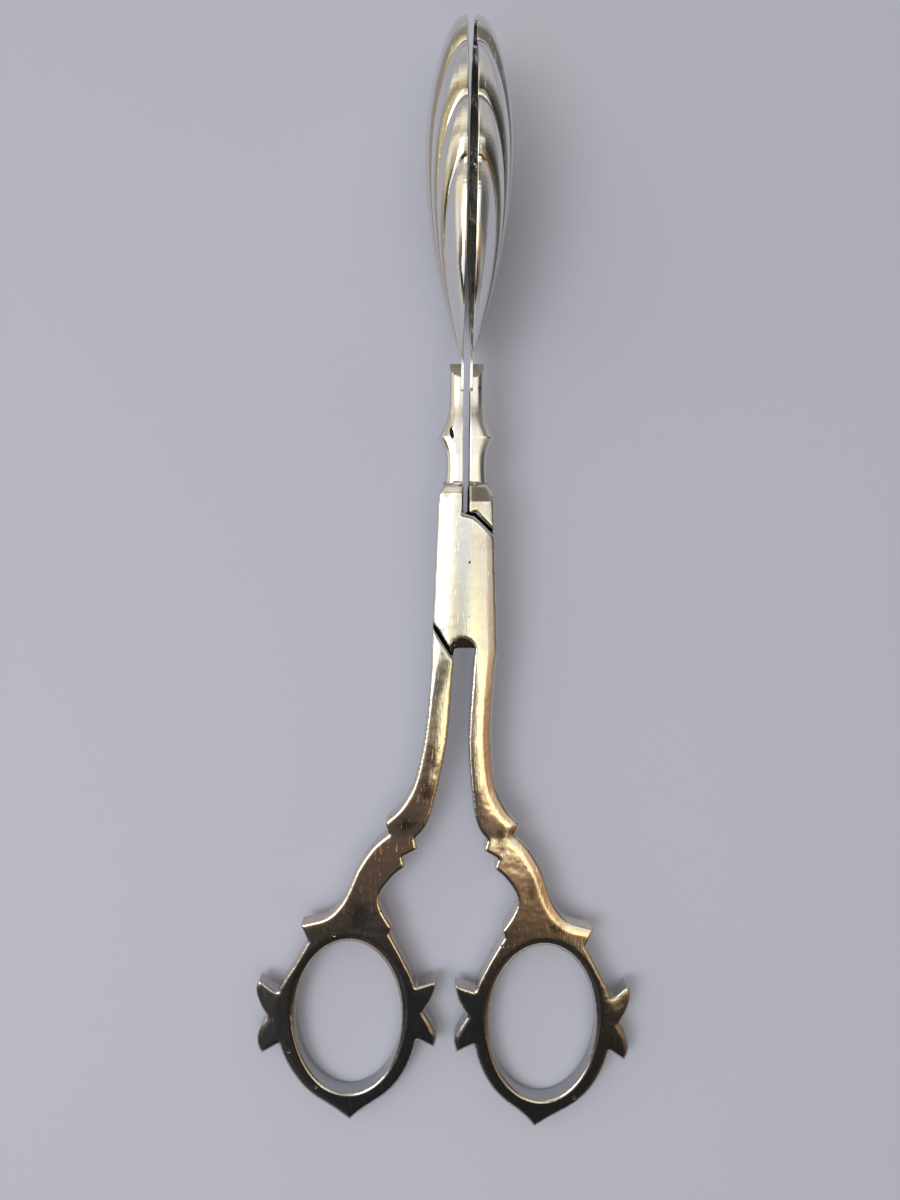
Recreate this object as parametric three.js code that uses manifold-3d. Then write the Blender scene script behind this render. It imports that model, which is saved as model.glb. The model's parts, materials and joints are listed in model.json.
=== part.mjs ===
// Serving tongs with scissor handles and fluted shell bowls.
// Two cast arms cross in a half-lap joint and turn on a blind screw that is entered from the back.
// Millimetres, +Z up, the tips towards +Y. The tongs lie on their finger rings and the lower bowl rims.
// Each arm is drawn lying level, with the pivot at the origin, its bowl at -X and its handle at +X.

import * as THREE from 'three';
import { mergeVertices } from 'three/addons/utils/BufferGeometryUtils.js';
import Module from 'manifold-3d';

const wasm = await Module();
wasm.setup();

// Fits
const solderGap = 0.3;           // brazed seams: neck to block, tang to neck
const lapGap = 0.3;              // between the two half-laps
const screwGap = 0.3;            // round the pivot screw
const seatClearance = 0.8;       // between the end of a lap and the other arm

// Joint block
const blockThickness = 6.9;
const blockTop = 20.3;           // seam with the neck
const blockTopHalf = 4.2;
const shoulderY = 18.3;
const shoulderHalf = 5.5;
const blockFoot = -14;           // the shank starts here
const blockFootHalf = 6.7;
const slit = 1.2;                // between the two shoulders and necks
const slitFloor = 14.5;
const lapSide = 6.6;             // half-width of the block where the lap's slopes end
const lapStep = 1.8;             // the upper slope starts here
const lapTop = 13.8;
const lapTopFoot = 9.2;
const lapLowTop = -8;            // the lower slope
const lapLow = -13.7;
const lapLowInner = 2.9;
const notchRadius = 2.65;        // round relief in the crotch of the front lap
const notchOffset = 0.4;          // from the middle, towards the left shank

// Handle: shank, knuckle, grip and finger ring
const shankWidth = 4.65;
const handleThickness = 4.2;
const edgeRound = 1;             // rounded edges of the casting: width and depth
const edgeDrop = 0.8;
const knuckle = new THREE.Vector2(10, -53.9);
const ringCentre = new THREE.Vector2(21, -94.2);
const ringOpening = new THREE.Vector2(23.6, 33.9);
const ringBand = 3.4;
const ringPoint = 6.2;           // depth of the band at the pointed bottom
const ringArcs = { inner: [142, 240], outer: [-60, 52] };  // degrees, where the band is round outside
const handleLean = { front: -3.1, rear: 3.1 };  // how far each ring was bent over after casting
const ornamentThickness = 3.4;
const ornamentRound = 0.4;

// Neck: half of a turned baluster, flattened front to back
const neckFlattening = 0.72;
const neckFootRadius = 3.85;
const neckWaistRadius = 3.7;
const neckWaist = 25;
const knopRadius = 5.5;
const knop = 29.8;
const knopHollow = 0.4;          // how far the knop's flanks are hollowed
const neckRadius = 3.35;
const neckThroat = 35;
const neckTop = 42;               // the end is bevelled front and back from here
const neckEnd = 44.7;
const neckEndHalf = 0.9;

// Bowl: fluted shell of sheet with a tang
const bowlRoot = 48.3;
const bowlLength = 61.8;
const bowlWidth = 34.6;
const bowlDepth = 6.9;
const spineSkew = 1.25;          // above 1, the deepest point lies past the middle
const spineFullness = 0.55;      // below 1, the ends of the spine are blunt
const bowlSheet = 0.8;
const rimGap = 1.6;              // between the two rims at rest
const fluteAngle = 8.4;          // degrees between creases, which fan out from the root
const flutesPerSide = 3.5;       // the middle flute runs along the spine
const fluteRelief = 0.95;
const fluteGrown = 40;           // distance from the root at which the relief is full
const lastRay = 72;              // degrees from the long axis to the root's own edge
const rootRadius = 1.6;          // of the sheet round the root that the tang covers
const tangWidth = 4.6;
const tangThickness = 0.9;
const tangFoot = 39.5;
const tangLap = 2.2;             // how far the tang runs into the bowl

// Pivot screw
const screwShank = 3.6;
const screwHead = 7;
const screwCone = 1.5;
const screwDepth = 2.1;          // how far it enters the front lap
const slotWidth = 0.9;
const slotDepth = 0.8;

// Facets
const ringFacets = 36;
const ringArcSteps = 8;
const edgeSteps = 2;             // along each stretch of a handle's edge
const turnedFacets = 28;
const raysPerFlute = 4;
const raysPerSide = 6;
const bowlRows = 12;

const half = blockThickness / 2;
const beyond = 2 * (bowlRoot + bowlLength);
const ringHalf = new THREE.Vector2(ringOpening.x / 2 + ringBand, ringOpening.y / 2 + ringBand);
const radians = THREE.MathUtils.degToRad;

// Solid modelling helpers

function toSolid(geometry) {
  const bare = geometry.clone();
  bare.deleteAttribute('normal');
  bare.deleteAttribute('uv');
  const merged = mergeVertices(bare, 1e-4);
  return new wasm.Manifold(new wasm.Mesh({
    numProp: 3,
    vertProperties: new Float32Array(merged.attributes.position.array),
    triVerts: new Uint32Array(merged.index.array),
  }));
}

function toGeometry(solid) {
  const mesh = solid.getMesh();
  const geometry = new THREE.BufferGeometry();
  geometry.setAttribute('position', new THREE.BufferAttribute(mesh.vertProperties, 3));
  geometry.setIndex(new THREE.BufferAttribute(mesh.triVerts, 1));
  const flat = geometry.toNonIndexed();
  flat.computeVertexNormals();
  return flat;
}

function prism(points, low, high) {
  const shape = new THREE.Shape(points.map(([x, y]) => new THREE.Vector2(x, y)));
  const geometry = new THREE.ExtrudeGeometry(shape, { depth: high - low, bevelEnabled: false });
  return toSolid(geometry.translate(0, 0, low));
}

function roundedPlate(shape, thickness, round, drop) {
  const geometry = new THREE.ExtrudeGeometry(shape, {
    depth: thickness - 2 * drop,
    bevelSize: round,
    bevelOffset: -round,
    bevelThickness: drop,
    bevelSegments: 2,
    curveSegments: edgeSteps,
  });
  return geometry.translate(0, 0, drop - thickness / 2);
}

function sidePrism(points, halfWidth) {
  // a shape in Y and Z, run out both ways along X
  const shape = new THREE.Shape(points.map(([y, z]) => new THREE.Vector2(y, z)));
  const geometry = new THREE.ExtrudeGeometry(shape, { depth: 2 * halfWidth, bevelEnabled: false });
  const turn = new THREE.Matrix4().makeBasis(
    new THREE.Vector3(0, 1, 0),
    new THREE.Vector3(0, 0, 1),
    new THREE.Vector3(1, 0, 0),
  );
  return toSolid(geometry.translate(0, 0, -halfWidth).applyMatrix4(turn));
}

function turned(profile) {
  // a profile of [radius, height], turned about Y
  return new THREE.LatheGeometry(profile.map(([r, y]) => new THREE.Vector2(r, y)), turnedFacets);
}

function upright(geometry) {
  return toSolid(geometry.rotateX(Math.PI / 2));
}

// Casting: block, shank, grip and finger ring

function leaned(side) {
  // the bend builds up along the handle and is full at the ring
  return ([x, y]) => {
    const share = THREE.MathUtils.clamp((blockFoot - y) / (blockFoot - ringCentre.y), 0, 1);
    return new THREE.Vector2(x + handleLean[side] * Math.sin(share * Math.PI / 2), y);
  };
}

const byKnuckle = ([x, y]) => [knuckle.x + x, knuckle.y + y];
const byRing = ([x, y]) => [ringCentre.x + x, ringCentre.y + y];
const byRingSide = (sign) => ([out, y]) => [ringCentre.x + sign * (ringHalf.x + out), ringCentre.y + y];

function shankEdge(sign) {
  // share of the way to the knuckle, share of the sideways swing, and share that the shank has widened
  const stations = [[0.18, 0, 0], [0.49, 0.06, 0.06], [0.75, 0.36, 0.16]];
  const middle = blockFootHalf - shankWidth / 2;
  return stations.map(([along, swing, widened]) => [
    THREE.MathUtils.lerp(middle, knuckle.x, swing) + sign * shankWidth / 2 * (1 + widened),
    THREE.MathUtils.lerp(blockFoot, knuckle.y, along),
  ]);
}

function ringArc([fromDegrees, toDegrees]) {
  return Array.from({ length: ringArcSteps + 1 }, (_, i) => {
    const angle = radians(THREE.MathUtils.lerp(fromDegrees, toDegrees, i / ringArcSteps));
    return byRing([ringHalf.x * Math.cos(angle), ringHalf.y * Math.sin(angle)]);
  });
}

const outerKnuckle = [[2.4, 2.4], [6.2, -2], [9.4, -6.5]].map(byKnuckle);
const outerGrip = [[0.7, 27.7], [4.2, 22.9]].map(byRing);
const innerGrip = [[-9, 19.4], [-7.5, 22.6], [-6.4, 25.2], [-6.3, 27.2], [-8.6, 31]].map(byRing);
const innerKnuckle = [[-0.6, -4.9], [-3.5, -0.1], [-5.2, 4.7]].map(byKnuckle);

function handleShape(side) {
  const lean = leaned(side);
  const shankInner = blockFootHalf - shankWidth;
  const bottom = byRing([0, -ringOpening.y / 2 - ringPoint]);
  const shape = new THREE.Shape();
  shape.moveTo(-blockTopHalf, blockTop);
  shape.lineTo(-shoulderHalf, shoulderY);
  shape.lineTo(-blockFootHalf, blockFoot);
  shape.lineTo(shankInner, blockFoot);
  shape.splineThru([...shankEdge(-1), ...innerKnuckle.toReversed(), ...innerGrip.toReversed()].map(lean));
  for (const point of [...ringArc(ringArcs.inner), bottom, ...ringArc(ringArcs.outer)].map(lean)) {
    shape.lineTo(point.x, point.y);
  }
  shape.splineThru([...shankEdge(1), ...outerKnuckle, ...outerGrip].toReversed().map(lean));
  shape.lineTo(blockFootHalf, blockFoot);
  shape.lineTo(shoulderHalf, shoulderY);
  shape.lineTo(blockTopHalf, blockTop);
  const centre = lean([ringCentre.x, ringCentre.y]);
  const opening = new THREE.EllipseCurve(centre.x, centre.y, ringOpening.x / 2, ringOpening.y / 2);
  shape.holes.push(new THREE.Path(opening.getPoints(ringFacets).slice(1)));
  return shape;
}

// Spurs, teeth and leaves on the handle's edges. The last points of each lie inside the casting.
const ornaments = [
  [[-0.4, 8.7], [1.7, 5.5], [4.2, 2.9], [3.5, 0.1], [0, 0.9], [-2, 6.9]].map(byKnuckle),
  [[-4.2, 1.6], [-2.6, -0.4], [-3, -3], [0, -4.6], [-0.6, -7], [2.3, -9.1], [4, -7.1],
    [-1.5, 1.4]].map(byKnuckle),
  [[2.2, 24.9], [4.7, 22.6], [7, 21.4], [10.4, 20.7], [8.7, 17.3], [6, 17.2], [2.6, 21.7]].map(byRing),
  [[-7.3, 22.6], [-9.2, 20.2], [-8.8, 18.8], [-6.5, 18.7], [-6, 21.7]].map(byRing),
  [[-0.4, 5.8], [3, 8.4], [3.5, 6.1], [1.5, 0.2], [3.3, -3], [3.5, -5.5], [2.7, -8.2], [-0.4, -6.1],
    [-1.8, -0.5]].map(byRingSide(1)),
  [[-0.6, 7], [3.9, 8.4], [1.1, 1.5], [3.6, -2.4], [4, -4.6], [3.4, -6.7], [-0.5, -4.8],
    [-1.8, 1.2]].map(byRingSide(-1)),
];

function thinned(geometry) {
  // the casting is thickest at the block and tapers along the shank to the knuckle
  const position = geometry.attributes.position;
  for (let i = 0; i < position.count; i += 1) {
    const share = THREE.MathUtils.clamp((blockFoot - position.getY(i)) / (blockFoot - knuckle.y), 0, 1);
    const factor = THREE.MathUtils.lerp(1, handleThickness / blockThickness, share);
    position.setZ(i, position.getZ(i) * factor);
  }
  return geometry;
}

// Half-lap: each arm keeps its front half between the slopes, and behind it only its shoulder and shank

const outside = 2 * blockFootHalf;

function atX([x1, y1], [x2, y2], x) {
  return [x, y1 + (x - x1) * (y2 - y1) / (x2 - x1)];
}

function slope([x1, y1], [x2, y2], clearance) {
  // a line moved off by the clearance (up or down) and run out past the block's side
  const lift = clearance * Math.hypot(x2 - x1, y2 - y1) / Math.abs(x2 - x1);
  const start = [x1, y1 + lift];
  return [start, atX(start, [x2, y2 + lift], Math.sign(x2) * outside)];
}

function lapCuts() {
  const shankInner = blockFootHalf - shankWidth;
  const upper = slope([lapStep, lapTop], [lapSide, lapTopFoot], 0);
  const lower = slope([-lapLowInner, lapLow], [-lapSide, lapLowTop], 0);
  const ownShoulder = slope([-lapStep, lapTop], [-lapSide, lapTopFoot], seatClearance);
  const ownShank = slope([lapLowInner, lapLow], [lapSide, lapLowTop], -seatClearance);
  const shoulderRoom = [[-slit / 2, beyond], [-slit / 2, slitFloor], ...upper, [outside, beyond]];
  const shankRoom = [[-outside, knuckle.y], ...lower.toReversed(), [-shankInner, blockFoot],
    [slit / 2, blockFoot], [slit / 2, knuckle.y]];
  const lapRoom = [[-slit / 2, beyond], [-slit / 2, slitFloor], ...ownShoulder, [-outside, knuckle.y],
    [-shankInner, knuckle.y], atX(...ownShank, -shankInner), ...ownShank, [outside, beyond]];
  return [
    prism(shoulderRoom, lapGap / 2, blockThickness),
    prism(shankRoom, lapGap / 2, blockThickness),
    prism(lapRoom, -blockThickness, lapGap / 2),
  ];
}

function crotchNotch() {
  const notch = new THREE.CylinderGeometry(notchRadius, notchRadius, blockThickness, turnedFacets);
  return upright(notch.translate(-notchOffset, half, -blockFoot));
}

function screwRoom(side) {
  // a blind hole in the front lap, a countersunk one through the rear lap
  const r = screwShank / 2 + screwGap;
  const head = screwHead / 2 + screwGap;
  const tip = screwDepth + screwGap;
  const blind = [[r, tip], [0, tip]];
  const sunk = [[r, half - screwCone], [head, half], [head, blockThickness], [0, blockThickness]];
  return upright(turned([[0, -half], [r, -half], ...(side === 'front' ? blind : sunk)]));
}

function handle(side) {
  let solid = toSolid(thinned(roundedPlate(handleShape(side), blockThickness, edgeRound, edgeDrop)));
  for (const corners of ornaments) {
    const shape = new THREE.Shape(corners.map(leaned(side)));
    solid = solid.add(toSolid(roundedPlate(shape, ornamentThickness, ornamentRound, ornamentRound)));
  }
  for (const cut of lapCuts()) {
    solid = solid.subtract(cut);
  }
  if (side === 'front') {
    solid = solid.subtract(crotchNotch());
  }
  return solid.subtract(screwRoom(side));
}

// Neck: the baluster is turned whole, split, and cut back for the tang

function neck() {
  const foot = blockTop + solderGap;
  const flank = (radius, y) => [(radius + knopRadius) / 2 - knopHollow, (y + knop) / 2];
  const baluster = turned([
    [0, foot], [neckFootRadius, foot], [neckWaistRadius, neckWaist], flank(neckWaistRadius, neckWaist),
    [knopRadius, knop], flank(neckRadius, neckThroat), [neckRadius, neckThroat], [neckRadius, neckEnd],
    [0, neckEnd],
  ]).scale(1, 1, neckFlattening);
  const bevel = (sign) => sidePrism([
    [neckTop, sign * neckRadius * neckFlattening], [neckEnd, sign * neckEndHalf],
    [beyond, sign * neckEndHalf], [beyond, sign * outside], [neckTop, sign * outside],
  ], outside);
  const room = (x, y) => prism([[x, y], [outside, y], [outside, beyond], [x, beyond]], -outside, outside);
  const seat = -rimGap / 2 - tangThickness - solderGap;
  const split = toSolid(baluster).subtract(room(-slit / 2, 0)).subtract(room(seat, tangFoot - solderGap));
  return split.subtract(bevel(1)).subtract(bevel(-1));
}

// Bowl: half an oval shell whose flutes fan out from the root

function rimDistance(angle) {
  // from the root to the rim, an ellipse that passes through the root
  const a = bowlLength / 2;
  const b = bowlWidth / 2;
  const c = Math.cos(angle);
  const s = Math.sin(angle);
  return 2 * a * b * b * c / (b * b * c * c + a * a * s * s);
}

function shellPoint(distance, angle) {
  // the spine is deepest past the middle, and each cross-section is half an ellipse
  const y = distance * Math.cos(angle);
  const z = distance * Math.sin(angle);
  const along = Math.min(1, y / bowlLength);
  const spine = bowlDepth * Math.max(0, Math.sin(Math.PI * along ** spineSkew)) ** spineFullness;
  const rim = bowlWidth * Math.sqrt(Math.max(0, along * (1 - along)));
  const across = rim > 0 ? Math.min(1, Math.abs(z) / rim) : 1;
  return new THREE.Vector3(-spine * Math.sqrt(1 - across * across), y, z);
}

function bowlRays() {
  // rays with the creases among them, and how far each stands up on its flute
  const outer = fluteAngle * flutesPerSide;
  const ray = (degrees, share) => ({ angle: radians(degrees), crest: Math.sin(Math.PI * share) });
  const edge = Array.from({ length: raysPerSide }, (_, i) => {
    const share = (i + 1) / raysPerSide;
    return ray(THREE.MathUtils.lerp(outer, lastRay, share), share);
  });
  const count = 2 * flutesPerSide * raysPerFlute;
  const fan = Array.from({ length: count + 1 }, (_, i) => {
    return ray(-outer + i * fluteAngle / raysPerFlute, (i % raysPerFlute) / raysPerFlute);
  });
  const mirrored = edge.map(({ angle, crest }) => ({ angle: -angle, crest }));
  return [...mirrored.toReversed(), ...fan, ...edge];
}

function outward(distance, angle) {
  const step = 0.1;
  const turn = 0.004;
  const along = shellPoint(distance, angle).sub(shellPoint(distance - step, angle));
  const across = shellPoint(distance - step, angle + turn).sub(shellPoint(distance - step, angle - turn));
  return across.cross(along).normalize();
}

function bowlSkins(rays) {
  const face = [];
  const inside = [];
  for (let row = 0; row <= bowlRows; row += 1) {
    const share = Math.sin(row / bowlRows * Math.PI / 2);
    for (const { angle, crest } of rays) {
      const distance = THREE.MathUtils.lerp(rootRadius, rimDistance(angle), share);
      const out = outward(distance, angle);
      if (row === bowlRows) {
        out.setX(0).normalize();
      }
      const swell = fluteRelief * crest * Math.min(1, distance / fluteGrown);
      const point = shellPoint(distance, angle).addScaledVector(out, swell);
      face.push(point);
      inside.push(point.clone().addScaledVector(out, -bowlSheet));
    }
  }
  return [...inside, ...face];
}

function bowl() {
  const rays = bowlRays();
  const points = bowlSkins(rays);
  const across = rays.length;
  const along = bowlRows + 1;
  const back = across * along;
  const index = [];
  const quad = (a, b, c, d) => index.push(a, b, c, a, c, d);
  for (let i = 0; i < along - 1; i += 1) {
    for (let j = 0; j < across - 1; j += 1) {
      const a = i * across + j;
      quad(a, a + across, a + across + 1, a + 1);
      quad(back + a, back + a + 1, back + a + across + 1, back + a + across);
    }
  }
  const columns = Array.from({ length: across }, (_, j) => j);
  const rows = Array.from({ length: along }, (_, i) => i * across);
  const border = [...columns, ...rows.slice(1).map((i) => i + across - 1),
    ...columns.slice(0, -1).toReversed().map((j) => rows.at(-1) + j), ...rows.slice(1, -1).toReversed()];
  border.forEach((from, k) => {
    const to = border[(k + 1) % border.length];
    quad(from, to, back + to, back + from);
  });
  const geometry = new THREE.BufferGeometry().setFromPoints(points);
  geometry.setIndex(index);
  geometry.translate(-rimGap / 2, bowlRoot, 0);
  const x = -rimGap / 2;
  const end = bowlRoot + tangLap;
  const tang = prism([[x - tangThickness, tangFoot], [x, tangFoot], [x, end], [x - tangThickness, end]],
    -tangWidth / 2, tangWidth / 2);
  return toSolid(geometry).add(tang);
}

// Pivot screw, entered from behind

function pivotScrew() {
  const r = screwShank / 2;
  const head = screwHead / 2;
  const profile = [[0, -half], [head, -half], [r, screwCone - half], [r, screwDepth], [0, screwDepth]];
  const w = slotWidth / 2;
  const slot = prism([[-head, -w], [head, -w], [head, w], [-head, w]], -blockThickness, slotDepth - half);
  return upright(turned(profile)).subtract(slot);
}

// Assembly

const silver = (color, roughness) => new THREE.MeshStandardMaterial({ color, roughness, metalness: 1 });

function piece(name, solid, material) {
  const mesh = new THREE.Mesh(toGeometry(solid), material);
  mesh.name = name;
  return mesh;
}

function arm(side) {
  const group = new THREE.Group();
  group.add(piece(`${side}_handle`, handle(side), silver(0xb9a98f, 0.22)));
  group.add(piece(`${side}_neck`, neck(), silver(0xe2ddd0, 0.2)));
  group.add(piece(`${side}_bowl`, bowl(), silver(0xd6d3ce, 0.16)));
  return group;
}

const tongs = new THREE.Group();
const frontArm = arm('front');
frontArm.add(piece('pivot_screw', pivotScrew(), silver(0xc9c2b4, 0.3)));
const rearArm = arm('rear');
rearArm.rotation.y = Math.PI;
tongs.add(frontArm, rearArm);

// The tongs lie with their bowls raised, so the level arms are tilted and set down on z = 0
const bowlMiddle = bowlRoot + bowlLength / 2;
const handleEnd = ringCentre.y - ringOpening.y / 2 - ringPoint;
const bowlHalf = bowlWidth / 2 + fluteRelief;
tongs.rotation.x = Math.atan((bowlHalf - handleThickness / 2) / (bowlMiddle - handleEnd));
const part = new THREE.Group();
part.add(tongs);
part.updateMatrixWorld(true);
const bounds = new THREE.Box3().setFromObject(part, true);
const middle = bounds.getCenter(new THREE.Vector3());
tongs.position.set(-middle.x, -middle.y, -bounds.min.z);

export default part;
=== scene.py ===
import json
import math

import bpy
import numpy as np
from mathutils import Matrix, Vector, kdtree


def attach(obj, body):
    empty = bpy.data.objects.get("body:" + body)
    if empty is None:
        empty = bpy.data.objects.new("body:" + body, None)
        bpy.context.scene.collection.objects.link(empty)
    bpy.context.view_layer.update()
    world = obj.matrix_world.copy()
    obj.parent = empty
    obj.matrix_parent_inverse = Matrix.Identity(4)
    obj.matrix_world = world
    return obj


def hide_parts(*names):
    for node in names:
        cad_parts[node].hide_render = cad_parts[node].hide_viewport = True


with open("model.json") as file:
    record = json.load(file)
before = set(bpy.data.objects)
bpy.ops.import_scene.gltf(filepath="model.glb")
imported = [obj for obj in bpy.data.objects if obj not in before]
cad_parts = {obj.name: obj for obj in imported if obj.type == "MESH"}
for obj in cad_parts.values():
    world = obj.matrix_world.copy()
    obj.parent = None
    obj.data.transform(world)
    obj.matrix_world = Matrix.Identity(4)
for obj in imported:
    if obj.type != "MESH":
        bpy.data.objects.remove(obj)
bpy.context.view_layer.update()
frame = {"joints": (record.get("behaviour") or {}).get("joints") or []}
scene = bpy.context.scene
scene.view_settings.view_transform = "Standard"

# each arm is modelled level, in millimetres, with the pivot at the origin, and then set down in the frame
pivot = frame["joints"][0]
tilt = math.atan2(-pivot["axis"][1], pivot["axis"][2])
lying = Matrix.Translation(pivot["pos_m"]) @ Matrix.Rotation(tilt, 4, "X")
armPlace = {
    "front": lying @ Matrix.Scale(0.001, 4),
    "rear": lying @ Matrix.Rotation(math.pi, 4, "Y") @ Matrix.Scale(0.001, 4),  # turned over
}


# modelling helpers

def clearSelection():
    if bpy.context.object and bpy.context.object.mode != "OBJECT":
        bpy.ops.object.mode_set(mode="OBJECT")
    bpy.ops.object.select_all(action="DESELECT")


def pick(obj, *others):
    clearSelection()
    for each in (obj, *others):
        each.select_set(True)
    bpy.context.view_layer.objects.active = obj


def useModifier(obj, kind, **settings):
    pick(obj)
    modifier = obj.modifiers.new(kind.lower(), kind)
    for key, value in settings.items():
        setattr(modifier, key, value)
    bpy.ops.object.modifier_apply(modifier=modifier.name)


def combine(obj, other, operation):
    useModifier(obj, "BOOLEAN", operation=operation, object=other, solver="EXACT")
    bpy.data.objects.remove(other)


def breakEdges(obj, width, segments, angle):
    limit = math.radians(angle)
    useModifier(obj, "BEVEL", width=width, segments=segments, limit_method="ANGLE", angle_limit=limit)


def roughen(obj, scale, height, direction="NORMAL"):
    clouds = bpy.data.textures.new(obj.name, "CLOUDS")
    clouds.noise_scale = scale
    useModifier(obj, "DISPLACE", texture=clouds, strength=height, mid_level=0.5, direction=direction,
                texture_coords="LOCAL")


def closeUp(obj):  # merge, then point the faces outwards
    pick(obj)
    bpy.ops.object.mode_set(mode="EDIT")
    bpy.ops.mesh.select_all(action="SELECT")
    bpy.ops.mesh.remove_doubles(threshold=0.001)
    bpy.ops.mesh.normals_make_consistent(inside=False)
    bpy.ops.object.mode_set(mode="OBJECT")


def plate(name, outline, low, high):  # a filled circle pulled to the outline and extruded
    clearSelection()
    bpy.ops.mesh.primitive_circle_add(vertices=len(outline), radius=10, fill_type="NGON")
    obj = bpy.context.object
    obj.name = name
    for vertex, (x, y) in zip(obj.data.vertices, outline):
        vertex.co = (x, y, low)
    bpy.ops.object.mode_set(mode="EDIT")
    bpy.ops.mesh.select_all(action="SELECT")
    bpy.ops.mesh.extrude_region_move(TRANSFORM_OT_translate={"value": (0, 0, high - low)})
    bpy.ops.object.mode_set(mode="OBJECT")
    closeUp(obj)
    return obj


def drum(name, radius, low, high, x=0, y=0, topRadius=None):
    clearSelection()
    bpy.ops.mesh.primitive_cone_add(
        vertices=64, radius1=radius, radius2=radius if topRadius is None else topRadius,
        depth=high - low, location=(x, y, (low + high) / 2))
    obj = bpy.context.object
    obj.name = name
    bpy.ops.object.transform_apply(location=True, rotation=False, scale=False)
    return obj


def setDown(obj, side, material, slotName, *nodes, angle=40):
    pick(obj)
    obj.matrix_world = armPlace[side]
    bpy.ops.object.transform_apply(location=True, rotation=True, scale=True)
    bpy.ops.object.shade_smooth_by_angle(angle=math.radians(angle))
    if material:
        obj.data.materials.clear()
        obj.data.materials.append(material)
    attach(obj, side + "_arm")
    if nodes:
        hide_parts(*nodes)
    print(obj.name, "set down,", len(obj.data.polygons), "faces")
    return obj


def curveThrough(points, step=0.35):  # a smooth run through traced points, without its last one
    points = [Vector(p) for p in points]
    ends = [2 * points[0] - points[1], *points, 2 * points[-1] - points[-2]]
    run = []
    for a, b, c, d in zip(ends, ends[1:], ends[2:], ends[3:]):
        before, here, after = ((q - p).length ** 0.5 for p, q in ((a, b), (b, c), (c, d)))
        leave = ((b - a) / before - (c - a) / (before + here) + (c - b) / here) * here
        arrive = ((c - b) / here - (d - b) / (here + after) + (d - c) / after) * here
        count = max(1, round((c - b).length / step))
        for t in (i / count for i in range(count)):
            run.append(tuple(
                (2 * t**3 - 3 * t**2 + 1) * b + (t**3 - 2 * t**2 + t) * leave
                + (3 * t**2 - 2 * t**3) * c + (t**3 - t**2) * arrive))
    return run


def drawn(*runs):  # an outline of smooth runs that meet in corners
    return [point for run in runs for point in curveThrough(run)]


def distanceTo(points, samples):
    tree = kdtree.KDTree(len(samples))
    for i, (x, y) in enumerate(samples):
        tree.insert((x, y, 0), i)
    tree.balance()
    return np.array([tree.find((x, y, 0))[2] for x, y in points])


def isWithin(points, outline):
    x, y = points.T
    inside = np.zeros(len(x), bool)
    for (x1, y1), (x2, y2) in zip(outline, outline[1:] + outline[:1]):
        crossed = (y1 > y) != (y2 > y)
        inside ^= crossed & (x < (x2 - x1) * (y - y1) / (y2 - y1 + 1e-9) + x1)
    return inside


def ease(value, start, end):
    share = np.clip((value - start) / (end - start), 0, 1)
    return share * share * (3 - 2 * share)


def readPoints(obj):
    flat = np.zeros(len(obj.data.vertices) * 3)
    obj.data.vertices.foreach_get("co", flat)
    return flat.reshape(-1, 3)


def writePoints(obj, points):
    obj.data.vertices.foreach_set("co", np.asarray(points, np.float32).ravel())
    obj.data.update()


# shader groups and finishes

def addNode(tree, kind, values=None, **settings):
    node = tree.nodes.new("ShaderNode" + kind)
    for key, value in settings.items():
        setattr(node, key, value)
    for key, value in (values or {}).items():
        node.inputs[key].default_value = value
    return node


def addRamp(tree, source, stops, smooth="EASE"):
    node = addNode(tree, "ValToRGB")
    node.color_ramp.interpolation = smooth
    while len(node.color_ramp.elements) < len(stops):
        node.color_ramp.elements.new(0.5)
    for element, (place, colour) in zip(node.color_ramp.elements, stops):
        element.position = place
        element.color = (*colour, 1)
    tree.links.new(source, node.inputs["Fac"])
    return node.outputs["Color"]


def grey(value):
    return (value, value, value)


def addMath(tree, operation, a, b, clamp=False):
    node = addNode(tree, "Math", operation=operation, use_clamp=clamp)
    for socket, value in zip(node.inputs, (a, b)):
        if isinstance(value, bpy.types.NodeSocket):
            tree.links.new(value, socket)
        else:
            socket.default_value = value
    return node.outputs[0]


def addMix(tree, fac, a, b, blend="MIX"):
    node = addNode(tree, "Mix", data_type="RGBA", blend_type=blend)
    for socket, value in zip((node.inputs[0], node.inputs[6], node.inputs[7]), (fac, a, b)):
        if isinstance(value, bpy.types.NodeSocket):
            tree.links.new(value, socket)
        elif isinstance(value, (int, float)):
            socket.default_value = value
        else:
            socket.default_value = (*value, 1)
    return node.outputs[2]


def newGroup(name, inputs, outputs):
    group = bpy.data.node_groups.new(name, "ShaderNodeTree")
    for label, kind in inputs:
        group.interface.new_socket(label, in_out="INPUT", socket_type="NodeSocket" + kind)
    for label, kind in outputs:
        group.interface.new_socket(label, in_out="OUTPUT", socket_type="NodeSocket" + kind)
    return group, group.nodes.new("NodeGroupInput"), group.nodes.new("NodeGroupOutput")


grain = {  # how each group is tuned
    "tarnish": {"finer": 7, "fineShare": 0.35, "threshold": 1.15, "contrast": 3.2},
    "polish": {"strokes": ((0.5, 0.05), (-0.35, 0.07), (1.2, 0.1)),  # turn and stretch
               "threshold": 0.62, "contrast": 9, "depth": 0.3},
    "pits": {"raggedScale": 2.6, "shift": 0.5, "least": 0.07, "spread": 0.12, "contrast": 2.5},
    "stain": {"raggedScale": 0.8, "contrast": 1.3, "torn": 3.4},
}


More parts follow.
